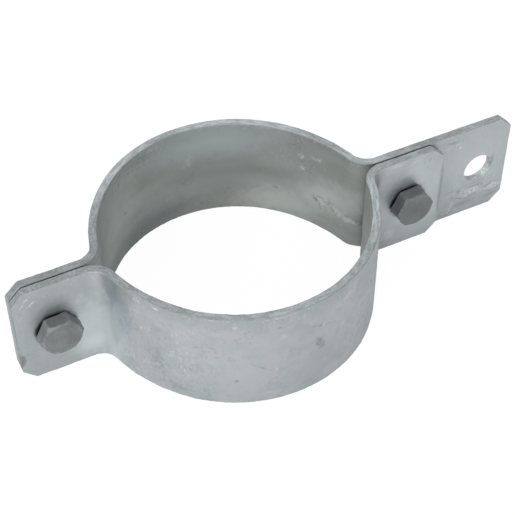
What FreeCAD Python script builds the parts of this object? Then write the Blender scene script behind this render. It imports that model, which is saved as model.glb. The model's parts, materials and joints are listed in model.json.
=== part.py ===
"""Two-piece earthing clamp for a round pipe, bent from galvanised flat bar and drawn up by two hex bolts.

Millimetres. The pipe's axis is Z, and the clamp rests on the lower edges of its straps at z = 0. The ears lie
along X, on both sides of the joint plane y = 0. The bolt heads face -Y, and the long connection ear points
to +X.
"""

import FreeCAD, Part
import Sketcher

import enum
import math
import os

# Driving dimensions in millimetres and degrees: name, value, what it is
SIZES = (
    ("strap_width", 40.0, "width of the flat bar, along the pipe"),
    ("strap_thickness", 3.0, "thickness of the flat bar"),
    ("crown_radius", 44.0, "inside radius of the seat at the crown of each strap"),
    ("crown_half_angle", 45.0, "angle from the middle of the crown to the end of its arc"),
    ("flank_radius", 54.0, "inside radius of the flatter flanks beside the crown"),
    ("bend_radius", 6.0, "outside radius of the bend from flank to ear"),
    ("ear_gap", 0.4, "gap between the facing ears"),
    ("short_ear_end", 78.5, "end of a short ear, from the pipe's axis"),
    ("long_ear_end", 108.0, "end of the connection ear, from the pipe's axis"),
    ("corner_cut", 4.5, "length of the cut at the corners of the ears"),
    ("corner_round", 1.0, "radius where a corner cut meets the edges"),
    ("edge_break", 0.4, "chamfer that breaks the bar's long and short edges"),
    ("bolt_offset", 65.0, "bolt axis from the pipe's axis"),
    ("bolt_diameter", 8.0, "diameter of the bolt's shank"),
    ("bolt_length", 20.0, "length of the bolt under its head"),
    ("bolt_clearance", 0.5, "radial clearance of the bolt in the straps"),
    ("tip_chamfer", 1.0, "chamfer on the bolt's tip"),
    ("hex_across_flats", 13.0, "width across flats of heads and nuts"),
    ("hex_face_inset", 0.3, "distance of a hex face's circle inside the flats"),
    ("hex_chamfer_angle", 30.0, "angle of the hex chamfers to the face"),
    ("head_height", 5.3, "height of a bolt head"),
    ("nut_height", 6.5, "height of a nut"),
    ("thread_clearance", 0.1, "radial clearance of the bolt in the nut, in place of the thread"),
    ("nut_countersink", 0.5, "countersink at both ends of the nut's bore"),
    ("connection_offset", 96.0, "connection hole from the pipe's axis"),
    ("connection_diameter", 11.0, "diameter of the connection hole"),
    ("left_head_turn", 63.5, "turn of the left bolt head about its axis"),
    ("right_head_turn", 63.5, "turn of the right bolt head about its axis"),
    ("left_nut_turn", 70.0, "turn of the left nut about its axis"),
    ("right_nut_turn", 35.0, "turn of the right nut about its axis"),
)
VALUE = {name: value for name, value, _ in SIZES}


class Point(enum.IntEnum):
    """Positions on a sketch's geometry."""

    START = 1
    END = 2
    CENTRE = 3


class Side(enum.IntEnum):
    """The strap on each side of the joint plane, as a direction along Y."""

    FRONT = -1
    REAR = 1


class Hand(enum.IntEnum):
    """The ear on each side of the pipe, as a direction along X."""

    LEFT = -1
    RIGHT = 1


ORIGIN = (-1, Point.START)
SKETCH_NORMAL = FreeCAD.Vector(0, 0, 1)
PARALLEL = 0.999
SQUARE = 0.001
SAME_SIZE = 0.001


def make_sheet(doc):
    """Puts the driving dimensions in a spreadsheet, each with its name as the alias."""
    sheet = doc.addObject("Spreadsheet::Sheet", "Sizes")
    for row, (name, value, meaning) in enumerate(SIZES, start=1):
        sheet.set(f"A{row}", name)
        sheet.set(f"B{row}", str(value))
        sheet.set(f"C{row}", meaning)
        sheet.setAlias(f"B{row}", name)
    doc.recompute()


def bind(target, path, formula):
    """Ties a property to a formula whose words are the sheet's dimensions, with spaces round every word."""
    words = [f"Sizes.{word}" if word in VALUE else word for word in formula.split()]
    target.setExpression(path, " ".join(words))


def new_body(doc, label):
    """An empty body with the sub-part's name."""
    body = doc.addObject("PartDesign::Body", label)
    body.Label = label
    return body


def new_sketch(body, name, plane):
    """An empty sketch on one of the body's own origin planes."""
    sketch = body.newObject("Sketcher::SketchObject", f"{body.Label}_{name}")
    support = next(item for item in body.Origin.OriginFeatures if item.Role == plane)
    sketch.AttachmentSupport = (support, [""])
    sketch.MapMode = "FlatFace"
    return sketch


def fix(sketch, *constraint):
    """Adds a geometric constraint."""
    return sketch.addConstraint(Sketcher.Constraint(*constraint))


def drive(sketch, name, formula, *constraint):
    """Adds a dimension and ties it to the spreadsheet."""
    sketch.renameConstraint(fix(sketch, *constraint), name)
    bind(sketch, f"Constraints.{name}", formula)


def add_line(sketch, start, end):
    """Draws a straight edge."""
    return sketch.addGeometry(Part.LineSegment(start, end))


def add_arc(sketch, centre, start, end):
    """Draws an arc about centre, counter-clockwise from start to end."""
    low = math.atan2(start.y - centre.y, start.x - centre.x)
    high = math.atan2(end.y - centre.y, end.x - centre.x)
    if high < low:
        high += 2 * math.pi
    circle = Part.Circle(centre, SKETCH_NORMAL, (start - centre).Length)
    return sketch.addGeometry(Part.ArcOfCircle(circle, low, high))


def add_circle(sketch, name, diameter, size, place):
    """Draws a circle of a bound diameter.

    place gives the formulas and values of its centre, or is None at the origin.
    """
    centre = FreeCAD.Vector(*(value for _, value in place)) if place else FreeCAD.Vector()
    circle = sketch.addGeometry(Part.Circle(centre, SKETCH_NORMAL, size / 2))
    drive(sketch, f"{name}_diameter", diameter, "Diameter", circle, size)
    if place is None:
        fix(sketch, "Coincident", circle, Point.CENTRE, *ORIGIN)
        return
    for axis, (formula, value) in zip("XY", place):
        drive(sketch, f"{name}_{axis}", formula, f"Distance{axis}", *ORIGIN, circle, Point.CENTRE, value)


class QuarterLine:
    """One face of a quarter of a strap, seen along the pipe: flank, bend and ear, tangent in that order."""

    def __init__(self, sketch, side, hand, ear_end, depth):
        """Draws the line. depth is its distance behind the seat: nothing, or the bar's thickness."""
        crown_turn = math.radians(90.0 - VALUE["crown_half_angle"])
        outward = FreeCAD.Vector(hand * math.cos(crown_turn), side * math.sin(crown_turn))
        flank_centre = outward * (VALUE["crown_radius"] - VALUE["flank_radius"])
        bend_height = side * (VALUE["ear_gap"] / 2 + VALUE["strap_thickness"] + VALUE["bend_radius"])
        reach = VALUE["flank_radius"] + VALUE["strap_thickness"] + VALUE["bend_radius"]
        run = math.sqrt(reach**2 - (bend_height - flank_centre.y) ** 2)
        bend_centre = FreeCAD.Vector(flank_centre.x + hand * run, bend_height)
        toward_bend = (bend_centre - flank_centre).normalize()
        flank_end = flank_centre + toward_bend * (VALUE["flank_radius"] + depth)
        ear_height = side * (VALUE["ear_gap"] / 2 + depth)
        ear_start = FreeCAD.Vector(bend_centre.x, ear_height)
        self.crown_end = outward * (VALUE["crown_radius"] + depth)
        self.ear_tip = FreeCAD.Vector(hand * VALUE[ear_end], ear_height)
        # Arcs run counter-clockwise, so two of the four quarters have the ends of theirs the other way round
        if side * hand < 0:
            self.crown_side, flank_side = Point.START, Point.END
            self.flank = add_arc(sketch, flank_centre, self.crown_end, flank_end)
            self.bend = add_arc(sketch, bend_centre, ear_start, flank_end)
        else:
            self.crown_side, flank_side = Point.END, Point.START
            self.flank = add_arc(sketch, flank_centre, flank_end, self.crown_end)
            self.bend = add_arc(sketch, bend_centre, flank_end, ear_start)
        self.ear = add_line(sketch, ear_start, self.ear_tip)
        fix(sketch, "Tangent", self.flank, flank_side, self.bend, flank_side)
        fix(sketch, "Tangent", self.bend, self.crown_side, self.ear, Point.START)
        fix(sketch, "Horizontal", self.ear)


def add_crown(sketch, name, first, last, radius):
    """Draws the crown's arc about the pipe's axis, tangent to the flanks at both of its ends."""
    crown = add_arc(sketch, FreeCAD.Vector(), first.crown_end, last.crown_end)
    fix(sketch, "Coincident", crown, Point.CENTRE, *ORIGIN)
    fix(sketch, "Tangent", crown, Point.START, first.flank, first.crown_side)
    fix(sketch, "Tangent", crown, Point.END, last.flank, last.crown_side)
    drive(sketch, name, radius, "Radius", crown, first.crown_end.Length)


def strap_outline(sketch, side, ear_ends):
    """Draws the bent bar seen along the pipe. ear_ends names the ends of the left and the right ear."""
    hands = (Hand.LEFT, Hand.RIGHT)
    thickness = VALUE["strap_thickness"]
    seat = [QuarterLine(sketch, side, hand, end, 0.0) for hand, end in zip(hands, ear_ends)]
    back = [QuarterLine(sketch, side, hand, end, thickness) for hand, end in zip(hands, ear_ends)]
    add_crown(sketch, "seat_crown", *seat[::-side], "crown_radius")
    add_crown(sketch, "back_crown", *back[::-side], "crown_radius + strap_thickness")
    for hand, end, inner, outer in zip(hands, ear_ends, seat, back):
        word = "left" if hand == Hand.LEFT else "right"
        tip = add_line(sketch, inner.ear_tip, outer.ear_tip)
        fix(sketch, "Coincident", inner.ear, Point.END, tip, Point.START)
        fix(sketch, "Coincident", outer.ear, Point.END, tip, Point.END)
        fix(sketch, "Vertical", tip)
        fix(sketch, "Coincident", inner.flank, Point.CENTRE, outer.flank, Point.CENTRE)
        fix(sketch, "Coincident", inner.bend, Point.CENTRE, outer.bend, Point.CENTRE)
        drive(sketch, f"{word}_flank", "flank_radius", "Radius", inner.flank, VALUE["flank_radius"])
        drive(sketch, f"{word}_bend", "bend_radius", "Radius", outer.bend, VALUE["bend_radius"])
        corner = (tip, Point.START)
        drive(sketch, f"{word}_end", f"{hand} * {end}", "DistanceX", *ORIGIN, *corner, inner.ear_tip.x)
        drive(sketch, f"{word}_gap", f"{side} * ear_gap / 2", "DistanceY", *ORIGIN, *corner, inner.ear_tip.y)
        seat_end = f"{hand} * crown_radius * sin( crown_half_angle * 1 deg )"
        meeting = (inner.flank, inner.crown_side)
        drive(sketch, f"{word}_seat", seat_end, "DistanceX", *ORIGIN, *meeting, inner.crown_end.x)


def crosses_bar(edge):
    """True for a straight edge that runs through the bar's thickness."""
    return isinstance(edge.Curve, Part.Line) and abs(edge.Curve.Direction.y) > PARALLEL


def is_bar_edge(face):
    """True for the narrow faces round the bar: its long edges and ends, the corner cuts and their rounds."""
    if isinstance(face.Surface, Part.Plane):
        return abs(face.Surface.Axis.y) < SQUARE
    return abs(face.Surface.Axis.y) > PARALLEL


def edge_names(shape, edges):
    """The names that the shape has for these edges."""
    return [f"Edge{n}" for n, edge in enumerate(shape.Edges, start=1) if any(edge.isSame(e) for e in edges)]


def dress_up(body, kind, name, edges, prop, formula):
    """Adds a Chamfer or a Fillet on edges of the body's last feature."""
    last = body.Tip
    feature = body.newObject(kind, f"{body.Label}_{name}")
    feature.Base = (last, edge_names(last.Shape, edges))
    bind(feature, prop, formula)
    body.Document.recompute()


def pad(body, name, profile, length, side_type="One side", reverse=False):
    """Adds a Pad of a bound length."""
    feature = body.newObject("PartDesign::Pad", f"{body.Label}_{name}")
    feature.Profile = profile
    feature.SideType = side_type
    feature.Reversed = reverse
    bind(feature, "Length", length)
    body.Document.recompute()


def take_away(body, feature):
    """Recomputes a new Pocket or Groove and makes sure that it cuts."""
    before = feature.BaseFeature.Shape.Volume
    body.Document.recompute()
    if not feature.Shape.Volume < before:
        raise RuntimeError(f"{feature.Name} cuts nothing")


def drill(body, name, profile):
    """Cuts the circles of a sketch through the body, both ways from the sketch's plane."""
    feature = body.newObject("PartDesign::Pocket", f"{body.Label}_{name}")
    feature.Profile = profile
    feature.Type = "ThroughAll"
    feature.SideType = "Symmetric"
    take_away(body, feature)


def make_strap(doc, label, side, ear_ends, holes):
    """A strap: the bent bar, its cut corners, its broken edges and its holes."""
    body = new_body(doc, label)
    outline = new_sketch(body, "outline", "XY_Plane")
    strap_outline(outline, side, ear_ends)
    pad(body, "bar", outline, "strap_width")
    corners = [edge for edge in body.Tip.Shape.Edges if crosses_bar(edge)]
    dress_up(body, "PartDesign::Chamfer", "corner_cuts", corners, "Size", "corner_cut")
    corners = [edge for edge in body.Tip.Shape.Edges if crosses_bar(edge)]
    dress_up(body, "PartDesign::Fillet", "corner_rounds", corners, "Radius", "corner_round")
    narrow = [face for face in body.Tip.Shape.Faces if is_bar_edge(face)]
    rims = [edge for face in narrow for edge in face.Edges if not crosses_bar(edge)]
    dress_up(body, "PartDesign::Chamfer", "edge_breaks", rims, "Size", "edge_break")
    drilling = new_sketch(body, "drilling", "XZ_Plane")
    middle = ("strap_width / 2", VALUE["strap_width"] / 2)
    for name, hand, offset, diameter, size in holes:
        place = ((f"{hand} * {offset}", hand * VALUE[offset]), middle)
        add_circle(drilling, name, diameter, size, place)
    drill(body, "holes", drilling)
    return body


def hexagon(body, turn):
    """A sketch of a regular hexagon about the body's axis. turn names the angle of its first corner."""
    sketch = new_sketch(body, "hexagon", "XY_Plane")
    radius = VALUE["hex_across_flats"] / math.sqrt(3)
    angles = [math.radians(VALUE[turn] + 60 * step) for step in range(6)]
    corners = [FreeCAD.Vector(radius * math.cos(angle), radius * math.sin(angle)) for angle in angles]
    flats = [add_line(sketch, corner, corners[(step + 1) % 6]) for step, corner in enumerate(corners)]
    guide = sketch.addGeometry(Part.Circle(FreeCAD.Vector(), SKETCH_NORMAL, radius), True)
    fix(sketch, "Coincident", guide, Point.CENTRE, *ORIGIN)
    for flat, following in zip(flats, flats[1:] + flats[:1]):
        fix(sketch, "Coincident", flat, Point.END, following, Point.START)
        fix(sketch, "PointOnObject", flat, Point.START, guide)
    for flat in flats[1:]:
        fix(sketch, "Equal", flats[0], flat)
    drive(sketch, "corner_circle", "hex_across_flats / sqrt( 3 )", "Radius", guide, radius)
    first_corner = f"hex_across_flats / sqrt( 3 ) * cos( {turn} * 1 deg )"
    drive(sketch, "turn", first_corner, "DistanceX", *ORIGIN, flats[0], Point.START, corners[0].x)
    return sketch


def turn_off_corners(body, name, height, share, into):
    """Turns the hexagon's corners off in a cone round a face.

    The face lies at this share of the named height, and into is 1 or -1 along the axis, from the face into the
    hexagon.
    """
    sketch = new_sketch(body, name, "XZ_Plane")
    level = share * VALUE[height]
    inner = VALUE["hex_across_flats"] / 2 - VALUE["hex_face_inset"]
    outer = VALUE["hex_across_flats"]
    drop = into * (outer - inner) * math.tan(math.radians(VALUE["hex_chamfer_angle"]))
    points = [FreeCAD.Vector(inner, level), FreeCAD.Vector(outer, level), FreeCAD.Vector(outer, level + drop)]
    face, wall, cone = (add_line(sketch, point, points[(step + 1) % 3]) for step, point in enumerate(points))
    for edge, following in ((face, wall), (wall, cone), (cone, face)):
        fix(sketch, "Coincident", edge, Point.END, following, Point.START)
    fix(sketch, "Horizontal", face)
    fix(sketch, "Vertical", wall)
    drive(sketch, "level", f"{share} * {height}", "DistanceY", *ORIGIN, face, Point.START, level)
    radius = "hex_across_flats / 2 - hex_face_inset"
    drive(sketch, "inner", radius, "DistanceX", *ORIGIN, face, Point.START, inner)
    drive(sketch, "outer", "hex_across_flats", "DistanceX", *ORIGIN, wall, Point.START, outer)
    slope = f"{into} * ( hex_across_flats / 2 + hex_face_inset ) * tan( hex_chamfer_angle * 1 deg )"
    drive(sketch, "slope", slope, "DistanceY", wall, Point.START, wall, Point.END, drop)
    groove = body.newObject("PartDesign::Groove", f"{body.Label}_{name}_turned")
    groove.Profile = sketch
    groove.ReferenceAxis = (sketch, ["V_Axis"])
    groove.Angle = 360
    take_away(body, groove)


def round_edges(body, diameter):
    """The body's circular edges of this diameter."""
    circles = [edge for edge in body.Tip.Shape.Edges if isinstance(edge.Curve, Part.Circle)]
    return [edge for edge in circles if abs(2 * edge.Curve.Radius - diameter) < SAME_SIZE]


def place_on_ears(body, hand, turn_about_x, depth):
    """Puts a fastener's axis on the bolt holes' axis. depth is a formula for its origin's place along Y."""
    turn = FreeCAD.Rotation(FreeCAD.Vector(1, 0, 0), turn_about_x)
    body.Placement = FreeCAD.Placement(FreeCAD.Vector(), turn)
    bind(body, "Placement.Base.x", f"{hand} * bolt_offset")
    bind(body, "Placement.Base.y", depth)
    bind(body, "Placement.Base.z", "strap_width / 2")


def make_bolt(doc, label, hand, turn):
    """A hex bolt, modelled with its head above the origin and its shank below, and seated on the front ear."""
    body = new_body(doc, label)
    pad(body, "head", hexagon(body, turn), "head_height")
    turn_off_corners(body, "head_face", "head_height", 1, -1)
    section = new_sketch(body, "section", "XY_Plane")
    add_circle(section, "shank", "bolt_diameter", VALUE["bolt_diameter"], None)
    pad(body, "shank", section, "bolt_length", reverse=True)
    tip = min(round_edges(body, VALUE["bolt_diameter"]), key=lambda edge: edge.BoundBox.ZMin)
    dress_up(body, "PartDesign::Chamfer", "tip", [tip], "Size", "tip_chamfer")
    place_on_ears(body, hand, 90, "-1 * ( ear_gap / 2 + strap_thickness )")
    return body


def make_nut(doc, label, hand, turn):
    """A hex nut, modelled about its own middle and seated on the back of the rear ear."""
    body = new_body(doc, label)
    pad(body, "blank", hexagon(body, turn), "nut_height", side_type="Symmetric")
    turn_off_corners(body, "outer_face", "nut_height", 0.5, -1)
    turn_off_corners(body, "seat_face", "nut_height", -0.5, 1)
    bore = VALUE["bolt_diameter"] + 2 * VALUE["thread_clearance"]
    section = new_sketch(body, "section", "XY_Plane")
    add_circle(section, "bore", "bolt_diameter + 2 * thread_clearance", bore, None)
    drill(body, "bore", section)
    dress_up(body, "PartDesign::Chamfer", "countersinks", round_edges(body, bore), "Size", "nut_countersink")
    place_on_ears(body, hand, -90, "ear_gap / 2 + strap_thickness + nut_height / 2")
    return body


def write_parts(doc, bodies):
    """Checks the whole document and writes one STEP file for each sub-part."""
    doc.recompute()
    failed = [item.Name for item in doc.Objects if {"Invalid", "Error"} & set(item.State)]
    if failed:
        raise RuntimeError(f"failed features: {failed}")
    for body in bodies:
        if body.Shape.isNull() or not body.Shape.isValid() or len(body.Shape.Solids) != 1:
            raise RuntimeError(f"{body.Label} is not one valid solid")
    os.makedirs("parts", exist_ok=True)
    for body in bodies:
        body.Shape.exportStep(f"parts/{body.Label}.step")
        print(f"{body.Label}: {body.Shape.Volume:.1f} mm3")


def main():
    """Builds the clamp and writes its sub-parts."""
    doc = FreeCAD.newDocument("earthing_pipe_clamp")
    make_sheet(doc)
    bolt_hole = VALUE["bolt_diameter"] + 2 * VALUE["bolt_clearance"]
    bolt_holes = [
        ("left_bolt_hole", Hand.LEFT, "bolt_offset", "bolt_diameter + 2 * bolt_clearance", bolt_hole),
        ("right_bolt_hole", Hand.RIGHT, "bolt_offset", "bolt_diameter + 2 * bolt_clearance", bolt_hole),
    ]
    connection = VALUE["connection_diameter"]
    connection_hole = ("connection_hole", Hand.RIGHT, "connection_offset", "connection_diameter", connection)
    even_ears, uneven_ears = ("short_ear_end", "short_ear_end"), ("short_ear_end", "long_ear_end")
    bodies = [
        make_strap(doc, "front_strap", Side.FRONT, even_ears, bolt_holes),
        make_strap(doc, "rear_strap", Side.REAR, uneven_ears, bolt_holes + [connection_hole]),
    ]
    for word, hand in (("left", Hand.LEFT), ("right", Hand.RIGHT)):
        bodies.append(make_bolt(doc, f"{word}_bolt", hand, f"{word}_head_turn"))
        bodies.append(make_nut(doc, f"{word}_nut", hand, f"{word}_nut_turn"))
    write_parts(doc, bodies)


main()
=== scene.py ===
"""Dresses the earthing pipe clamp: two galvanised straps, two hex bolts and two nuts on a pale floor.

Lengths in the classes are millimetres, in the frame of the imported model, and each mesh is written in metres.
"""

import json
import logging
import math
from dataclasses import dataclass
from enum import Enum
from typing import Iterable, Mapping, Sequence, Union

import bmesh
import bpy
import numpy as np
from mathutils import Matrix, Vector


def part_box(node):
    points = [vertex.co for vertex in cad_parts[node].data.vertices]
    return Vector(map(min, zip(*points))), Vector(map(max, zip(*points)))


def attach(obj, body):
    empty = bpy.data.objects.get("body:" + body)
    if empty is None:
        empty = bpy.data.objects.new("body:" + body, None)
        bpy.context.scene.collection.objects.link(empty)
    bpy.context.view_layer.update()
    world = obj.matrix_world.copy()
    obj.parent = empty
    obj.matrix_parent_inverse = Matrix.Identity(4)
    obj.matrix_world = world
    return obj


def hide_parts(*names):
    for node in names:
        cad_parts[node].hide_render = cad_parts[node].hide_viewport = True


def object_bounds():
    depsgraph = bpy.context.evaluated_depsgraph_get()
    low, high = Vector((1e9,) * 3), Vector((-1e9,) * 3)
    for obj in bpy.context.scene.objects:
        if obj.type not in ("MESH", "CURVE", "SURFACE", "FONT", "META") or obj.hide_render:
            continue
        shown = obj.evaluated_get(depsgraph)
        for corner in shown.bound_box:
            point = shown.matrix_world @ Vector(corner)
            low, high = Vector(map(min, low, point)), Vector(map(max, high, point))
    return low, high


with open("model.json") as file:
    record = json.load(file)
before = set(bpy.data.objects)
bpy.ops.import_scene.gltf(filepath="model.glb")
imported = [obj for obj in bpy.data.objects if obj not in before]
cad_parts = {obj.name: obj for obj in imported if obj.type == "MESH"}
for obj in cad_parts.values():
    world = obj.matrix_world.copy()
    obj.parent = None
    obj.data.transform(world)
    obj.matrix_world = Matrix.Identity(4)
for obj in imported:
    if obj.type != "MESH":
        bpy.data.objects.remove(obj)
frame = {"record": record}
CAD_BOX = [list(corner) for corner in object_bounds()]

LOG = logging.getLogger("pipe_clamp")
MM = 0.001
BODY = "root"
# Points in one cell of a grid of this size, in millimetres, are welded
WELD_GRAIN = 1e-4
# A shift that keeps flat sides away from the borders of the grid's cells
WELD_SHIFT = 3.77e-5
# The share of a step that a stretch may be too long for its number of lines
SPACING_SLACK = 1e-6
# The shortest length that a direction is worked out for
TINY = 1e-9

Array = np.ndarray
Colour = tuple[float, float, float]
WHITE: Colour = (1.0, 1.0, 1.0)


class Side(Enum):
    """The straps on the two sides of the joint plane, as directions along Y."""

    FRONT = -1
    REAR = 1


class Face(Enum):
    """The faces of a strap: away from the pipe, towards it, and the narrow walls between them."""

    OUTER = 1
    INNER = -1
    WALL = 0


class MarkKind(Enum):
    """What a local mark in the zinc is. Its value names the mesh attribute for all marks of the kind.

    Attributes:
        LUMP: Zinc that ran and set in raised, rough drops, with painted shadow along their edges.
        STAIN: Dark specks, and a patch of painted shade beside the right bolt head.
        GLINT_AND_WEAR: Bright specks: painted glints and highlights, and some bright worn zinc.
        PAINTED_SHEEN: A painted sheen of reflected light, tinted towards blue.
        MOTTLE: Zinc with stronger clouds, flecks and waves.
        BLOOM: Pale zinc, and painted light on lit faces and walls and painted reflection of the floor.
        SHADE: Painted shade and shadow in an even, darker tone, and a few dark smudges.
        NICK: A dent in an edge, darkened with painted shade.
        HEAD_SHADOW: A nearly black painted shadow under the bolt heads.
    """

    LUMP = "lump"
    STAIN = "stain"
    GLINT_AND_WEAR = "gleam"
    PAINTED_SHEEN = "burnish"
    MOTTLE = "mottle"
    BLOOM = "bloom"
    SHADE = "shade"
    NICK = "nick"
    HEAD_SHADOW = "grime"


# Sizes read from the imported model


def box_mm(node: str) -> tuple[Array, Array]:
    """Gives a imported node's lowest and highest corners.

    Args:
        node: The node's name.

    Returns:
        Both corners in millimetres.
    """
    low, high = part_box(node)
    return np.array(low) / MM, np.array(high) / MM


def middle_mm(node: str) -> Array:
    """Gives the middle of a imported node's box in millimetres."""
    low, high = box_mm(node)
    return (low + high) / 2


def mount(name: str) -> Mapping[str, object]:
    """Gives the record's entry for a mount."""
    return next(entry for entry in frame["record"]["mounts"] if entry["name"] == name)


# Meshes from arrays


@dataclass
class Surface:
    """Points and four-cornered faces of a surface, with numbers that belong to each point.

    Attributes:
        points: Places in millimetres, one row per point.
        faces: Indices of each face's four corners.
        marks: Named numbers, one per point.
    """

    points: Array
    faces: Array
    marks: dict[str, Array]

    def joined(self, other: "Surface") -> "Surface":
        """Puts another surface beside this one, with both keeping their own points."""
        return Surface(
            np.vstack([self.points, other.points]),
            np.vstack([self.faces, other.faces + len(self.points)]),
            {name: np.concatenate([values, other.marks[name]]) for name, values in self.marks.items()},
        )

    def welded(self) -> "Surface":
        """Merges the points that lie in one place. A face can then name the same corner twice."""
        grid = np.round((self.points + WELD_SHIFT) / WELD_GRAIN).astype(np.int64)
        _, first, index = np.unique(grid, axis=0, return_index=True, return_inverse=True)
        marks = {name: values[first] for name, values in self.marks.items()}
        return Surface(self.points[first], index.reshape(-1)[self.faces], marks)


def grid_faces(index: Array, wrap_rows: bool = False, wrap_columns: bool = False) -> Array:
    """Joins a grid of point indices with four-cornered faces.

    Args:
        index: Point indices, in rows and columns.
        wrap_rows: Whether the last row meets the first.
        wrap_columns: Whether the last column meets the first.

    Returns:
        One row of four indices for each face.
    """
    if wrap_rows:
        index = np.vstack([index, index[:1]])
    if wrap_columns:
        index = np.hstack([index, index[:, :1]])
    corners = (index[:-1, :-1], index[:-1, 1:], index[1:, 1:], index[1:, :-1])
    return np.stack(corners, axis=-1).reshape(-1, 4)


def perimeter(index: Array) -> Array:
    """Goes once round the edge of a grid of point indices."""
    return np.concatenate([index[:-1, 0], index[-1, :-1], index[:0:-1, -1], index[0, :0:-1]])


def make_piece(name: str, node: str, surface: Surface, relief: Array) -> bpy.types.Object:
    """Turns a closed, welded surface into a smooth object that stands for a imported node.

    Faces that lost a corner in welding become triangles, and those that lost two are left out. Each point
    then moves along its normal by its relief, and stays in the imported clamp's box.

    Args:
        name: The object's name.
        node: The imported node.
        surface: What to show.
        relief: How far each point stands out, in millimetres.

    Returns:
        The new object, at the origin.
    """
    faces = surface.faces
    repeats = faces == np.roll(faces, -1, axis=1)
    quads = faces[~repeats.any(axis=1)]
    single = repeats.sum(axis=1) == 1
    triangles = faces[single][~repeats[single]].reshape(-1, 3)
    mesh = bpy.data.meshes.new(name)
    mesh.from_pydata((surface.points * MM).tolist(), [], quads.tolist() + triangles.tolist())
    for mark, values in surface.marks.items():
        attribute = mesh.attributes.new(mark, "FLOAT", "POINT")
        attribute.data.foreach_set("value", values.astype(np.float32))
    shaping = bmesh.new()
    shaping.from_mesh(mesh)
    bmesh.ops.recalc_face_normals(shaping, faces=shaping.faces)
    shaping.to_mesh(mesh)
    shaping.free()
    mesh.shade_smooth()
    normals = np.empty(surface.points.size, np.float32)
    mesh.vertex_normals.foreach_get("vector", normals)
    moved = surface.points + normals.reshape(-1, 3) * relief[:, None]
    moved = np.clip(moved * MM, *CAD_BOX)
    mesh.vertices.foreach_set("co", moved.astype(np.float32).ravel())
    mesh.update()
    piece = bpy.data.objects.new(name, mesh)
    bpy.context.scene.collection.objects.link(piece)
    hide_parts(node)
    return piece


def spaced(stops: Sequence[float], step: float) -> Array:
    """Divides the stretches between stops evenly.

    Args:
        stops: Places that get a line of their own, in rising order.
        step: The widest spacing of the lines.

    Returns:
        All lines, stops included.
    """
    spans = [
        np.linspace(low, high, max(1, math.ceil((high - low) / step - SPACING_SLACK)), endpoint=False)
        for low, high in zip(stops[:-1], stops[1:])
    ]
    return np.concatenate([*spans, [stops[-1]]])


def smooth(share: Array) -> Array:
    """Eases a share from nothing to one: three times its square less twice its cube, with the ends held."""
    held = np.clip(share, 0.0, 1.0)
    return held * held * (3 - 2 * held)


class Waves:
    """A smooth random field: plane waves of many directions and lengths, scaled to a spread of one."""

    def __init__(self, seed: int, shortest: float, longest: float, count: int = 40) -> None:
        """Draws the waves.

        Args:
            seed: Seed of the random draws.
            shortest: Shortest wavelength in millimetres.
            longest: Longest wavelength in millimetres.
            count: How many waves are added up.
        """
        draw = np.random.default_rng(seed)
        directions = draw.normal(size=(count, 3))
        directions /= np.linalg.norm(directions, axis=1, keepdims=True)
        lengths = np.exp(draw.uniform(math.log(shortest), math.log(longest), count))
        self.waves = (2 * math.pi * directions / lengths[:, None]).T
        self.phases = draw.uniform(0, 2 * math.pi, count)

    def at(self, points: Array) -> Array:
        """Gives the field's value at each point."""
        total = np.cos(points @ self.waves + self.phases).sum(axis=1)
        return total * math.sqrt(2 / len(self.phases))


# Shader expressions


Input = Union["Value", float, Sequence[float]]


class Value:
    """A node's output socket. Arithmetic on it adds Math nodes to its tree."""

    def __init__(self, graph: "Graph", socket: bpy.types.NodeSocket) -> None:
        """Wraps a socket of a graph."""
        self.graph = graph
        self.socket = socket

    def math(self, operation: str, *operands: Input) -> "Value":
        """Adds a Math node.

        Args:
            operation: Blender's name of the operation.
            operands: All of its inputs, in order.

        Returns:
            The node's result.
        """
        names = ("Value", "Value_001", "Value_002")
        return self.graph.node("ShaderNodeMath", {"operation": operation}, dict(zip(names, operands)))

    def __add__(self, other: Input) -> "Value":
        """Adds a number or a value."""
        return self.math("ADD", self, other)

    def __radd__(self, other: Input) -> "Value":
        """Adds this to a number."""
        return self.math("ADD", other, self)

    def __sub__(self, other: Input) -> "Value":
        """Takes a number or a value away."""
        return self.math("SUBTRACT", self, other)

    def __rsub__(self, other: Input) -> "Value":
        """Takes this away from a number."""
        return self.math("SUBTRACT", other, self)

    def __mul__(self, other: Input) -> "Value":
        """Multiplies by a number or a value."""
        return self.math("MULTIPLY", self, other)

    def __rmul__(self, other: Input) -> "Value":
        """Multiplies a number by this."""
        return self.math("MULTIPLY", other, self)

    def larger(self, other: Input) -> "Value":
        """Gives the larger of this and another."""
        return self.math("MAXIMUM", self, other)

    def size(self) -> "Value":
        """Gives the value without its sign."""
        return self.math("ABSOLUTE", self)

    def step(self, low: float, high: float) -> "Value":
        """Goes smoothly from nothing at low to one at high, whichever of them is the larger.

        Args:
            low: Where the result is nothing.
            high: Where the result is one.

        Returns:
            The step, between nothing and one.
        """
        rising = low <= high
        sockets = {
            "Value": self,
            "From Min": min(low, high),
            "From Max": max(low, high),
            "To Min": 0.0 if rising else 1.0,
            "To Max": 1.0 if rising else 0.0,
        }
        return self.graph.node("ShaderNodeMapRange", {"interpolation_type": "SMOOTHSTEP"}, sockets)


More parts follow.
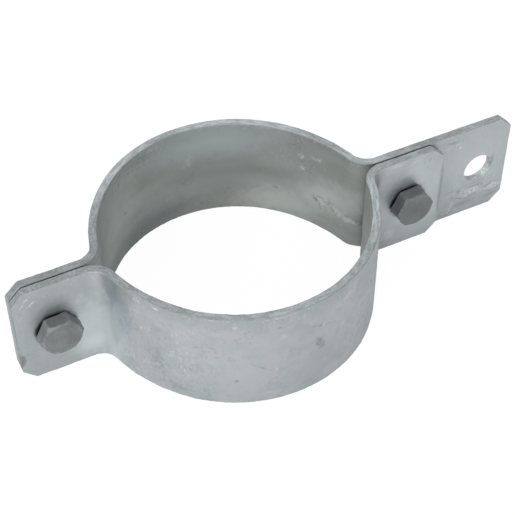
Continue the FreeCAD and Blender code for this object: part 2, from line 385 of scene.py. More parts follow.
class Graph:
    """A node tree that is written as expressions."""

    def __init__(self, tree: bpy.types.NodeTree) -> None:
        """Empties the tree."""
        self.tree = tree
        tree.nodes.clear()

    @staticmethod
    def find(sockets: Iterable[bpy.types.NodeSocket], key: str) -> bpy.types.NodeSocket:
        """Finds a socket by its identifier or its name."""
        listed = list(sockets)
        named = [socket for socket in listed if socket.identifier == key]
        return (named or [socket for socket in listed if socket.name == key])[0]

    def node(
        self,
        kind: str,
        settings: Mapping[str, object] | None = None,
        inputs: Mapping[str, Input] | None = None,
        output: str | None = None,
    ) -> Value | None:
        """Adds a node, sets it up and then fills its sockets.

        Args:
            kind: The node's type.
            settings: Its properties.
            inputs: A value, number or tuple for each socket that isn't left as it is.
            output: The output to use, or none for the first.

        Returns:
            That output, or none where the node has none.
        """
        made = self.tree.nodes.new(kind)
        for name, setting in (settings or {}).items():
            setattr(made, name, setting)
        for key, given in (inputs or {}).items():
            socket = self.find(made.inputs, key)
            if isinstance(given, Value):
                self.tree.links.new(given.socket, socket)
            else:
                socket.default_value = given
        if not made.outputs:
            return None
        return Value(self, self.find(made.outputs, output) if output else made.outputs[0])

    def blend(self, first: Input, second: Input, share: Input) -> Value:
        """Mixes two colours.

        Args:
            first: The colour where share is nothing.
            second: The colour where share is one.
            share: How much of the second there is.

        Returns:
            The mixed colour.
        """
        inputs = {"Factor_Float": share, "A_Color": opaque(first), "B_Color": opaque(second)}
        return self.node("ShaderNodeMix", {"data_type": "RGBA"}, inputs, "Result_Color")

    def layered(self, ground: Input, layers: Iterable[tuple[Input, Input]]) -> Input:
        """Lays colours over a ground.

        Args:
            ground: The first colour.
            layers: The colours over it, in order, each with its share.

        Returns:
            The mixed colour.
        """
        for colour, share in layers:
            ground = self.blend(ground, colour, share)
        return ground

    def place(self, stretch: Sequence[float] = (1.0, 1.0, 1.0)) -> Value:
        """Gives the place on the object in millimetres, with each axis times a stretch."""
        coordinates = self.node("ShaderNodeTexCoord", output="Object")
        scale = tuple(part / MM for part in stretch)
        return self.node("ShaderNodeMapping", {}, {"Vector": coordinates, "Scale": scale})

    def noise(self, where: Value, grain: float, detail: float = 2.0, rough: float = 0.5) -> Value:
        """Adds cloud noise from nothing to one.

        Args:
            where: The place in millimetres.
            grain: The size of its clouds in millimetres.
            detail: How many finer layers it has.
            rough: How strong the finer layers are.

        Returns:
            The noise.
        """
        inputs = {"Vector": where, "Scale": 1 / grain, "Detail": detail, "Roughness": rough}
        return self.node("ShaderNodeTexNoise", {}, inputs, "Fac")

    def mark(self, name: str) -> Value:
        """Gives the numbers that a mesh keeps under a name."""
        settings = {"attribute_type": "GEOMETRY", "attribute_name": name}
        return self.node("ShaderNodeAttribute", settings, output="Fac")

    def on_bar(self, stretch: Sequence[float]) -> Value:
        """Gives the place on a strap's bar: along, through and over its middle, each times a stretch."""
        names = ("along", "outward", "across")
        parts = [self.mark(name) * part for name, part in zip(names, stretch)]
        return self.node("ShaderNodeCombineXYZ", {}, dict(zip("XYZ", parts)))

    def metal(self, colour: Input, metallic: float, roughness: Value, height: Value, depth: float) -> None:
        """Ends a material's tree with a metal.

        Args:
            colour: Its base colour.
            metallic: Its metallic share.
            roughness: Its roughness.
            height: The height of its fine texture, from nothing to about one.
            depth: What a height of one stands for, in millimetres.
        """
        normal = self.node("ShaderNodeBump", {}, {"Height": height, "Distance": depth * MM, "Strength": 1.0})
        inputs = {"Base Color": colour, "Metallic": metallic, "Roughness": roughness, "Normal": normal}
        shader = self.node("ShaderNodeBsdfPrincipled", {}, inputs)
        self.node("ShaderNodeOutputMaterial", {}, {"Surface": shader})


def opaque(colour: Input) -> Input:
    """Adds full alpha to a colour that is written as three numbers."""
    return colour if isinstance(colour, Value) else (*colour, 1.0)


def new_material(name: str) -> tuple[bpy.types.Material, Graph]:
    """Makes a material with an empty tree."""
    made = bpy.data.materials.new(name)
    made.use_nodes = True
    return made, Graph(made.node_tree)


# Finishes


# Places along the bar, in millimetres, between which the ears give way to the half ring
LEFT_BEND = (24.0, 36.0)
RIGHT_BEND = (186.0, 174.0)
# Heights over the bar's middle between which the zinc below its upper edge gets more flecks
UPPER_BAND = (15.0, 19.5)


class ZincTextures:
    """The noises, places and marks that a strap's zinc is mixed from, each a share from nothing to one."""

    def __init__(self, graph: Graph) -> None:
        """Adds their nodes to a material's tree."""
        where = graph.place()
        along, outward, across = (graph.mark(name) for name in ("along", "outward", "across"))
        depth = outward.size()
        self.marks = {kind: graph.mark(kind.value) for kind in MarkKind}
        self.patches = graph.noise(where, 4.2, 3.0, 0.55)
        self.speckle = graph.noise(where, 1.7, 3.0, 0.65)
        self.grain = graph.noise(where, 0.8, 2.0, 0.6)
        self.streaks = graph.noise(graph.on_bar((0.2, 1.5, 1.0)), 0.9, 3.0, 0.65)
        self.dullness = (graph.noise(where, 13.0) * 0.6 + self.patches * 0.4).step(0.40, 0.60)
        self.bands = graph.noise(graph.on_bar((0.25, 0.0, 1.0)), 9.0, 1.0).step(0.36, 0.64)
        self.clusters = graph.noise(where, 7.0, 2.0).step(0.42, 0.58)
        self.flecks = graph.noise(graph.place((1.0, 1.0, 0.6)), 0.8, 1.0, 0.5).step(0.60, 0.76)
        self.hatching = graph.noise(graph.on_bar((1.0, 0.0, 0.3)), 1.1, 2.0, 0.6).step(0.54, 0.72)
        winding = (graph.noise(where, 8.0, 3.0, 0.6) - 0.5).size().step(0.018, 0.002)
        self.lines = winding * graph.noise(where, 11.0).step(0.50, 0.62)
        self.seat = along.step(*LEFT_BEND) * along.step(*RIGHT_BEND)
        self.inside = outward.step(-0.7, -0.98) * self.seat
        self.rim = depth.step(0.985, 0.84)
        self.turned = depth.step(0.72, 0.80) * depth.step(0.9995, 0.985)
        self.upper = across.step(*UPPER_BAND)


@dataclass(frozen=True)
class Galvanising:
    """Hot-dip zinc: soft clouds, fine flecks, run lines, a grainy cut edge and the marks of each strap."""

    # Some of these colours are painted light and shade, as noted at each
    pale: Colour = (0.510, 0.522, 0.539)
    dull: Colour = (0.450, 0.484, 0.487)
    # These two: pale zinc outside and inside the ring, also used as painted light on lit faces and walls and
    # as painted reflection of the floor
    bloom: Colour = (0.655, 0.705, 0.716)
    inner_pale_and_lit: Colour = (0.665, 0.710, 0.682)
    # These two: inside the ring, duller zinc darkened with painted shade, as less light reaches it there
    inner_pale: Colour = (0.470, 0.502, 0.492)
    inner_dark: Colour = (0.412, 0.436, 0.412)
    edge_pale: Colour = (0.490, 0.518, 0.516)
    edge_dark: Colour = (0.325, 0.347, 0.345)
    # Painted shade on the turned edges, which dims their highlight
    lip: Colour = (0.290, 0.307, 0.306)
    # Dark specks, and painted shade and shadow
    dark: Colour = (0.240, 0.258, 0.262)
    # Painted shadow: a nearly black line under the bolt heads
    grime: Colour = (0.025, 0.028, 0.030)
    # Bright flecks and worn zinc, and painted glints and highlights
    bright: Colour = (0.800, 0.815, 0.830)
    # A painted sheen: reflected light, tinted towards blue
    blue: Colour = (0.440, 0.503, 0.555)
    metallic: float = 0.92
    roughness: float = 0.40
    dull_roughness: float = 0.09
    edge_roughness: float = 0.34
    bump_depth: float = 0.035

    def material(self) -> bpy.types.Material:
        """Builds the material.

        Returns:
            A material that reads object coordinates and the marks of a strap's mesh.
        """
        made, graph = new_material("galvanised_zinc")
        zinc = ZincTextures(graph)
        colour = self.faces(graph, zinc)
        colour = self.edged(graph, zinc, colour)
        colour = self.marked(graph, zinc, colour)
        edges = zinc.rim.larger(zinc.turned)
        roughness = self.roughness + zinc.dullness * self.dull_roughness + edges * self.edge_roughness
        height = zinc.patches * 0.35 + zinc.speckle * 0.35 + zinc.grain * 0.3
        graph.metal(colour, self.metallic, roughness, height, self.bump_depth)
        return made

    def faces(self, graph: Graph, zinc: ZincTextures) -> Input:
        """Inside the ring the zinc is duller and darker, partly as painted shade, in bands of painted
        reflection.

        Args:
            graph: The material's tree.
            zinc: Its textures.

        Returns:
            The colour.
        """
        mottle = zinc.marks[MarkKind.MOTTLE]
        spotted = mottle * (1.0 - zinc.clusters)
        flecked = mottle * zinc.clusters
        outer = graph.blend(self.pale, self.dull, zinc.dullness.larger((1.0 - zinc.seat) * 0.7))
        # Inside the ring: duller zinc, darkened with painted shade and banded with painted reflection
        inner = graph.blend(self.inner_pale, self.inner_dark, zinc.bands)
        layers = (
            (inner, zinc.inside),
            # Painted sheen of reflected light
            (self.blue, zinc.marks[MarkKind.PAINTED_SHEEN]),
            (self.dark, zinc.patches.step(0.48, 0.34) * spotted * 0.16),
            (self.dark, zinc.speckle.step(0.46, 0.30) * (0.07 + spotted * 0.25)),
            (self.bright, zinc.hatching * flecked * 0.30),
            (self.bright, zinc.flecks * (0.06 + flecked * 0.50 + zinc.upper * 0.30)),
            (self.dark, zinc.lines * 0.30),
        )
        return graph.layered(outer, layers)

    def edged(self, graph: Graph, zinc: ZincTextures, colour: Input) -> Input:
        """The walls get painted glints, and the turned edges painted shade that dims their highlight.

        Args:
            graph: The material's tree.
            zinc: Its textures.
            colour: The colour of the faces.

        Returns:
            The colour of faces and edges.
        """
        streaks = zinc.streaks
        worn = (streaks * 0.5 + zinc.grain * 0.5).step(0.38, 0.62)
        edge = graph.blend(self.edge_pale, self.edge_dark, worn)
        # Painted glints along the walls and edges
        edge = graph.blend(edge, self.bright, streaks.step(0.64, 0.76) * 0.5)
        # Painted shade on the turned edges, which dims their highlight, most within the ring
        lip = zinc.turned * streaks.step(0.64, 0.50) * (0.15 + zinc.seat * 0.25)
        return graph.layered(colour, ((edge, zinc.rim), (self.lip, lip)))

    def marked(self, graph: Graph, zinc: ZincTextures, colour: Input) -> Input:
        """Lays the local marks over the faces and edges.

        Args:
            graph: The material's tree.
            zinc: Its textures.
            colour: The colour without these marks.

        Returns:
            The colour with them.
        """
        marks = zinc.marks
        lump = marks[MarkKind.LUMP]
        # Pale zinc, and painted light and painted reflection of the floor, in another tone inside the ring
        bloom = graph.blend(self.bloom, self.inner_pale_and_lit, zinc.inside)
        pale_and_lit_share = marks[MarkKind.BLOOM] * (1.0 - zinc.rim * zinc.streaks.step(0.40, 0.62) * 0.6)
        # Painted shadow along the lumps' edges
        outline = lump.step(0.02, 0.22) * lump.step(0.60, 0.30)
        layers = (
            (bloom, pale_and_lit_share.larger(lump * 0.65)),
            (self.dark, outline * zinc.patches.step(0.60, 0.46) * 0.55),
            (self.dark, lump * zinc.speckle.step(0.50, 0.36) * 0.45),
            (self.bright, lump * zinc.grain.step(0.50, 0.62) * 0.9),
            # Painted shade and shadow, and a few dark smudges
            (self.dark, marks[MarkKind.SHADE]),
            # The dents of nicks, darkened with painted shade
            (self.dark, marks[MarkKind.NICK] * 0.8),
            # Painted shadow under the bolt heads
            (self.grime, marks[MarkKind.HEAD_SHADOW]),
            (self.dark, marks[MarkKind.STAIN] * zinc.speckle.step(0.62, 0.40)),
            # Painted glints and highlights, and bright worn specks
            (self.bright, marks[MarkKind.GLINT_AND_WEAR] * zinc.grain.step(0.34, 0.56)),
        )
        return graph.layered(colour, layers)


@dataclass(frozen=True)
class DullSteel:
    """The fasteners' dull dark zinc, a little paler where their edges are worn."""

    light: Colour = (0.217, 0.228, 0.233)
    dark: Colour = (0.167, 0.176, 0.177)
    worn: Colour = (0.40, 0.415, 0.42)
    metallic: float = 0.5
    roughness: float = 0.52
    spread: float = 0.12
    bump_depth: float = 0.02

    def material(self) -> bpy.types.Material:
        """Builds the material.

        Returns:
            A material that reads object coordinates and a fastener's worn edges.
        """
        made, graph = new_material("dull_steel")
        where = graph.place()
        clouds = graph.noise(where, 5.0, 2.0, 0.5)
        grain = graph.noise(where, 0.7, 2.0, 0.6)
        colour = graph.blend(self.light, self.dark, (clouds * 0.7 + grain * 0.3).step(0.32, 0.68))
        nicks = graph.noise(where, 1.3, 2.0, 0.6).step(0.42, 0.66)
        colour = graph.blend(colour, self.worn, graph.mark("wear") * nicks * 0.35)
        pale_specks = graph.noise(where, 0.8, 1.0).step(0.68, 0.80)
        colour = graph.blend(colour, self.worn, pale_specks * 0.4)
        roughness = self.roughness + (clouds - 0.5) * self.spread
        graph.metal(colour, self.metallic, roughness, clouds * 0.4 + grain * 0.6, self.bump_depth)
        return made


# The bent straps


# How the marks meet the edges of their faces, in shares of the bar's half thickness
FACE_FROM = 0.6
FACE_FADE = 0.4
WALL_UP_TO = 0.98
WALL_FADE = 0.1
# The most that a mark's edge wavers, and how quickly a soft mark's edge does so less
WAVER_LIMIT = 2.0
WAVER_POWER = 1.5


@dataclass(frozen=True)
class Mark:
    """A local mark in the zinc on one face of a strap: an ellipse on the flat bar with a wavering, soft edge.

    Attributes:
        kind: What it is.
        face: The face that it is on.
        along: The distance of its middle along the bar.
        across: The height of its middle over the bar's middle.
        long: Its half length.
        wide: Its half width.
        tilt: The angle in degrees by which its length rises.
        strength: How strong it is in the middle.
        soft: The outer share of the ellipse over which it fades.
        ragged: How strongly its edge wavers.
    """

    kind: MarkKind
    face: Face
    along: float
    across: float
    long: float
    wide: float
    tilt: float = 0.0
    strength: float = 1.0
    soft: float = 0.5
    ragged: float = 0.08

    def mask(self, marks: Mapping[str, Array], waver: Array) -> Array:
        """Gives the mark's share at each point: full in the middle of the ellipse, and nothing at its edge.

        Args:
            marks: The points' places on the flat bar.
            waver: A random field that moves the edge in and out, less so for a soft mark.

        Returns:
            The shares.
        """
        turn = math.radians(self.tilt)
        ahead = marks["along"] - self.along
        above = marks["across"] - self.across
        lengthwise = (ahead * math.cos(turn) + above * math.sin(turn)) / self.long
        widthwise = (above * math.cos(turn) - ahead * math.sin(turn)) / self.wide
        held = np.clip(waver, -WAVER_LIMIT, WAVER_LIMIT)
        reach = np.hypot(lengthwise, widthwise) * (1.0 + self.ragged / self.soft**WAVER_POWER * held)
        outward = marks["outward"]
        if self.face is Face.WALL:
            on_face = smooth((WALL_UP_TO - abs(outward)) / WALL_FADE)
        else:
            on_face = smooth((outward * self.face.value - FACE_FROM) / FACE_FADE)
        return self.strength * smooth((1.0 - reach) / self.soft) * on_face


# Marks by their kind and face. A row gives a mark's other attributes in the order that the class has them:
# along, across, long, wide, tilt, strength, soft and ragged. Those at its end that are as usual are left out.
MarkTable = Mapping[tuple[MarkKind, Face], Sequence[Sequence[float]]]

FRONT_MARKS: MarkTable = {
    (MarkKind.STAIN, Face.OUTER): [
        # The first is painted shade beside the right bolt head; the rest are stains
        (178.9, 5.6, 4.6, 3, 30, 0.45, 0.9), (192.4, 14.4, 3.2, 0.35, 80, 0.5),
        (194.2, 11.4, 1.7, 0.35, -20, 0.5), (77.4, 1.6, 1.2, 1.2, 0, 0.75), (78.8, -8.8, 1, 0.9, 0, 0.6),
        (105.9, 0.2, 4.4, 2.3, -62, 0.75, 0.8), (122.8, 15, 1.5, 0.5, 70, 0.7),
        (133.2, 5.7, 1.2, 0.7, 80, 0.8), (124.4, -6.1, 4, 0.4, 24, 0.55), (126.3, 1.3, 2.4, 0.4, 62, 0.6),
        (95, 14.8, 7, 0.35, 6, 0.5), (107.9, 7.6, 4.2, 0.45, -22, 0.7), (86, -2.6, 5.6, 0.4, -35, 0.55),
        (53.5, -8, 3.5, 11, 10, 0.45, 0.9), (60, -16, 10, 3, -6, 0.4, 0.9),
    ],
    # Painted glints and highlights, many along the upper edges, and some bright worn specks and scratches
    (MarkKind.GLINT_AND_WEAR, Face.OUTER): [
        (23.5, -10, 8, 9, 0, 0.14, 1), (179, 18.4, 4.2, 0.9, 0, 0.6, 0.9),
        (186.6, 17.6, 2.2, 0.6, 10, 0.6, 0.9), (178.4, -13.4, 5, 3, 40, 0.3, 0.9),
        (117, 14.2, 2.6, 1.3, 20, 0.4, 0.9), (115, 2.2, 1.4, 0.4, -20, 0.5), (91.2, -5.2, 0.5, 1.3, 0, 0.5),
        (89, -16.1, 4.6, 1.1, 0, 0.35, 0.9), (78.2, 16.7, 0.8, 0.8, 0, 0.45),
        (91, 18.9, 6, 0.5, 0, 0.6, 0.9), (107.1, 7.9, 0.9, 0.8, 0, 0.8), (33, 9.4, 7, 1.8, -65, 0.55, 1),
        (6.3, 14.3, 2.6, 0.45, 38, 0.75), (5, 16.8, 2.2, 0.4, 36, 0.6), (3.4, 14.6, 1.8, 0.4, 42, 0.6),
        (46.8, 18.1, 1.9, 0.5, -14, 0.8), (53, 18.4, 2.2, 0.4, -4, 0.8),
    ],
    # Painted sheen: light reflected in the left bend
    (MarkKind.PAINTED_SHEEN, Face.OUTER): [
        (38.4, 7, 7, 20, 8, 0.75, 0.8),
    ],
    (MarkKind.MOTTLE, Face.OUTER): [
        (52, -3, 26, 30), (116, 14, 16, 9, 0, 0.6), (12, 2, 20, 26, 0, 0.4, 0.8),
        (190, 2, 14, 24, 0, 0.5, 0.8), (180, -13, 9, 8, 0, 0.9, 0.8), (130, 4, 18, 18, 0, 0.7, 0.8),
    ],
    (MarkKind.MOTTLE, Face.INNER): [
        (60, 4, 26, 16, 0, 0.6, 0.8), (140, -6, 24, 14, 0, 0.6, 0.8),
    ],
    # Pale zinc, and painted light on the left bend and the right ear
    (MarkKind.BLOOM, Face.OUTER): [
        (85, -2, 42, 24, 0, 0.16, 1), (22.5, -3, 12, 16, 0, 0.95, 1), (34.5, -4, 8, 30, 0, 0.8, 1),
        (188, 0, 26, 34, 0, 0.85, 1), (24.5, -12, 10, 10, 0, 0.95, 1), (93.5, 9.8, 2.1, 1.7, 0, 0.5, 0.8),
    ],
    (MarkKind.BLOOM, Face.INNER): [
        (120, -10, 40, 12, 0, 0.4, 1),
    ],
    # Painted light that lightens the upper walls
    (MarkKind.BLOOM, Face.WALL): [
        (96, 20, 72, 12, 0, 0.45, 0.9), (155, 20, 30, 10, 0, 0.8, 0.9), (188, 20, 16, 8, 0, 0.35, 0.9),
    ],
    # Painted shade beside the bolt heads, below the upper edge and at the right ear's end; and dark smudges
    (MarkKind.SHADE, Face.OUTER): [
        (11.5, 6.6, 7.5, 3.6, 18, 0.4, 0.9), (183, 6.6, 7.5, 3.6, 18, 0.4, 0.9),
        (66, 20, 42, 7, 0, 0.26, 1), (122, 20, 30, 5, 0, 0.16, 1), (198.4, 0, 1.2, 17, 0, 0.5, 0.8),
        (171.6, 14, 1.7, 5.2, 0, 0.35, 0.9), (106, 0.1, 3.8, 2, -60, 0.45, 0.9),
    ],
    # Painted shade on the inner face
    (MarkKind.SHADE, Face.INNER): [
        (90, 2, 40, 8, 0, 0.25, 1),
    ],
    # Painted shade on the ears' walls and on the left end wall
    (MarkKind.SHADE, Face.WALL): [
        (10, 20, 34, 12, 0, 0.1, 0.6), (186, 20, 26, 12, 0, 0.1, 0.6), (0, 0, 2, 26, 0, 0.5, 0.6),
    ],
    (MarkKind.NICK, Face.OUTER): [
        (0, -10.4, 2.5, 3.6, 0, 1, 0.35, 0.01),
    ],
    (MarkKind.NICK, Face.WALL): [
        (0, -10.4, 2.4, 3.6, 0, 1, 0.35, 0.01),
    ],
    # Painted shadow: a nearly black line under each bolt head
    (MarkKind.HEAD_SHADOW, Face.OUTER): [
        (12.8, -0.3, 7.6, 7.6, 0, 1, 0.2, 0.003), (184.9, 0, 7.4, 7.4, 0, 1, 0.2, 0.003),
    ],
}
REAR_MARKS: MarkTable = {
    (MarkKind.LUMP, Face.INNER): [
        (153, -7.3, 4.2, 2, -36), (160.4, -7.2, 5.4, 3.6, -6, 1, 0.8), (166.6, -7.8, 3.6, 1.6, -10),
        (213.4, -10.4, 7.6, 3.2, 4, 1, 0.8), (223.6, -11.6, 5, 2.6, 8, 1, 0.8),
        (206.2, -15.8, 0.9, 4.2, -22, 0.7), (203.6, -17.6, 2.2, 1, 10, 0.7),
    ],
    (MarkKind.STAIN, Face.INNER): [
        (204.4, 14.4, 6.2, 0.4, -9, 0.35), (151, -6.9, 2.4, 1.6, -70, 0.42, 0.9),
        (83, 16.4, 9, 2.6, -6, 0.5, 0.9), (94, -14.6, 9, 3, 4, 0.4, 0.9), (69.5, 14, 0.5, 1.8, 0, 0.7),
        (72, -1.2, 0.9, 0.7, 0, 0.7), (77.4, -7.8, 0.9, 0.8, 0, 0.6), (72.8, -17.6, 0.7, 2.4, 0, 0.8),
        (109, -15.8, 3.2, 1.8, 10, 0.6), (134.7, -8.2, 0.9, 1.2, 0, 0.7), (81, 13.6, 8, 0.6, -12, 0.5),
        (204, 16.4, 5, 0.5, -8, 0.55),
    ],
    # Painted glints on the lumps' lower ridges and elsewhere, and bright specks
    (MarkKind.GLINT_AND_WEAR, Face.INNER): [
        (204, 14.6, 6.5, 1, 4, 0.4, 0.9), (211.8, -12.6, 5, 0.7, 6, 0.6, 0.9),
        (219.4, -12, 2.6, 0.6, 18, 0.55, 0.9), (225, -12.8, 3.2, 0.6, 8, 0.6, 0.9),
        (162.6, -7.6, 5.2, 1.7, -12, 0.6, 0.9), (153.4, -6.6, 3.8, 1.6, -40, 0.55, 0.9),
        (102.2, 5, 1.3, 2.4, 12, 0.45), (100.6, 3.6, 0.8, 1, 0, 0.4), (145.5, 4.7, 1.3, 1.1, 0, 0.75),
        (151.6, 11.6, 1.8, 1.1, 20, 0.7), (144.6, 9.9, 1.7, 1.2, 0, 0.65), (87, 17.6, 5, 1, 0, 0.45, 0.9),
        (207.4, 13.1, 0.7, 0.6, 0, 0.9), (222.6, 11.8, 0.6, 0.6, 0, 0.8),
    ],
    # A painted glint on the connection hole's wall
    (MarkKind.GLINT_AND_WEAR, Face.WALL): [
        (220, -3.6, 2.2, 2, 0, 0.8),
    ],
    # Painted sheen: light reflected near the top of the inner face
    (MarkKind.PAINTED_SHEEN, Face.INNER): [
        (112, 13, 32, 12, 0, 0.65, 1),
    ],
    (MarkKind.MOTTLE, Face.OUTER): [
        (70, -4, 28, 26, 0, 0.9, 0.8), (140, 8, 24, 18, 0, 0.7, 0.8), (208, 0, 22, 24, 0, 0.6, 0.8),
    ],
    (MarkKind.MOTTLE, Face.INNER): [
        (160, -7.5, 13, 5, 0, 0.9), (214, -2, 20, 24, 0, 0.7, 0.8), (82, 16, 14, 4, 0, 0.6),
        (144, 7, 14, 6, 0, 0.5),
    ],
    (MarkKind.BLOOM, Face.OUTER): [
        (108, -4, 40, 26, 0, 0.25, 1), (14, 0, 24, 30, 0, 0.45, 1), (205, 0, 30, 30, 0, 0.45, 1),
    ],
    # Painted reflection of the floor on the lower right, painted light on the left and top, and pale zinc on
    # the long ear
    (MarkKind.BLOOM, Face.INNER): [
        (155, -5, 24, 12, 24, 1, 1), (137, -14, 26, 10, 8, 0.85, 0.9), (112, 12.5, 32, 12, 0, 0.42, 1),
        (66, 0, 20, 24, 0, 0.6, 1), (213, 2, 28, 30, 0, 0.48, 1),
    ],
    # Painted light on the upper wall and on the connection hole's wall
    (MarkKind.BLOOM, Face.WALL): [
        (122, 20, 46, 6, 0, 0.75, 1), (72, 20, 30, 6, 0, 0.75, 1), (168, 20, 26, 6, 0, 0.65, 1),
        (214, 20, 24, 6, 0, 0.3, 1), (215.9, 0, 9, 9, 0, 0.85),
    ],
    # Painted shade and shadow around the lumps, over the lower left and the middle, at the front ear's end and
    # beside the connection hole
    (MarkKind.SHADE, Face.INNER): [
        (211.6, -15.4, 7, 1.7, 3, 0.4, 0.9), (223.6, -15.6, 4.6, 1.5, 10, 0.4, 0.9),
        (216, -6.6, 9, 0.8, 4, 0.28, 0.9), (205.6, -7.6, 3.4, 0.7, 3, 0.35, 0.9),
        (86, -16, 34, 9, 2, 0.48, 0.9), (117, -1.5, 34, 7, 2, 0.32, 1), (46, 4, 8, 30, 0, 0.3, 1),
        (200.7, -2, 0.9, 16, 0, 0.55, 0.8), (222, 1.6, 1, 4.6, 0, 0.45, 0.8),
    ],
    # Painted shade on the left ear's wall
    (MarkKind.SHADE, Face.WALL): [
        (8, 20, 30, 12, 0, 0.16, 0.6),
    ],
}


def listed(table: MarkTable) -> list[Mark]:
    """Makes the marks of a table."""
    return [Mark(kind, face, *row) for (kind, face), rows in table.items() for row in rows]


@dataclass(frozen=True)
class Run:
    """A stretch of a bar's middle line: its length and the angle that it turns to the left."""

    length: float
    turn: float


class MiddleLine:
    """The middle of a bent bar, seen along the pipe, as straight runs and tangent arcs in one chain.

    After u of a run whose heading starts at h and turns by k for each millimetre, the line lies on a chord
    with the heading h + ku/2 and the length u times the sine of ku/2 over ku/2.
    """

    def __init__(self, start: Sequence[float], runs: Sequence[Run]) -> None:
        """Works out where each run starts.

        Args:
            start: The first point, where the line heads along +X.
            runs: The stretches, in order.
        """
        lengths = np.array([run.length for run in runs])
        turns = np.array([run.turn for run in runs])
        self.ends = np.cumsum(lengths)
        self.begins = self.ends - lengths
        self.headings = np.cumsum(turns) - turns
        self.bends = turns / lengths
        chords = self._chord(lengths, self.headings, self.bends)
        self.starts = np.array(start) + np.vstack([[0.0, 0.0], np.cumsum(chords, axis=0)[:-1]])
        self.length = float(self.ends[-1])

    @staticmethod
    def _chord(travel: Array, heading: Array, bend: Array) -> Array:
        """Gives the straight move that travelling along runs makes."""
        half = bend * travel / 2
        reach = travel * np.sinc(half / math.pi)
        return np.stack([reach * np.cos(heading + half), reach * np.sin(heading + half)], axis=-1)

    def at(self, along: Array) -> tuple[Array, Array]:
        """Finds places on the line.

        Args:
            along: Distances from its start.

        Returns:
            The points, and the unit vectors to the left of the line there.
        """
        run = np.minimum(np.searchsorted(self.ends, along), len(self.ends) - 1)
        travel = along - self.begins[run]
        points = self.starts[run] + self._chord(travel, self.headings[run], self.bends[run])
        heading = self.headings[run] + self.bends[run] * travel
        return points, np.stack([-np.sin(heading), np.cos(heading)], axis=-1)


@dataclass(frozen=True)
class Hole:
    """A round hole through an ear: the place of its axis along X, its radius and the radius of its lip."""

    offset: float
    radius: float
    lip: float


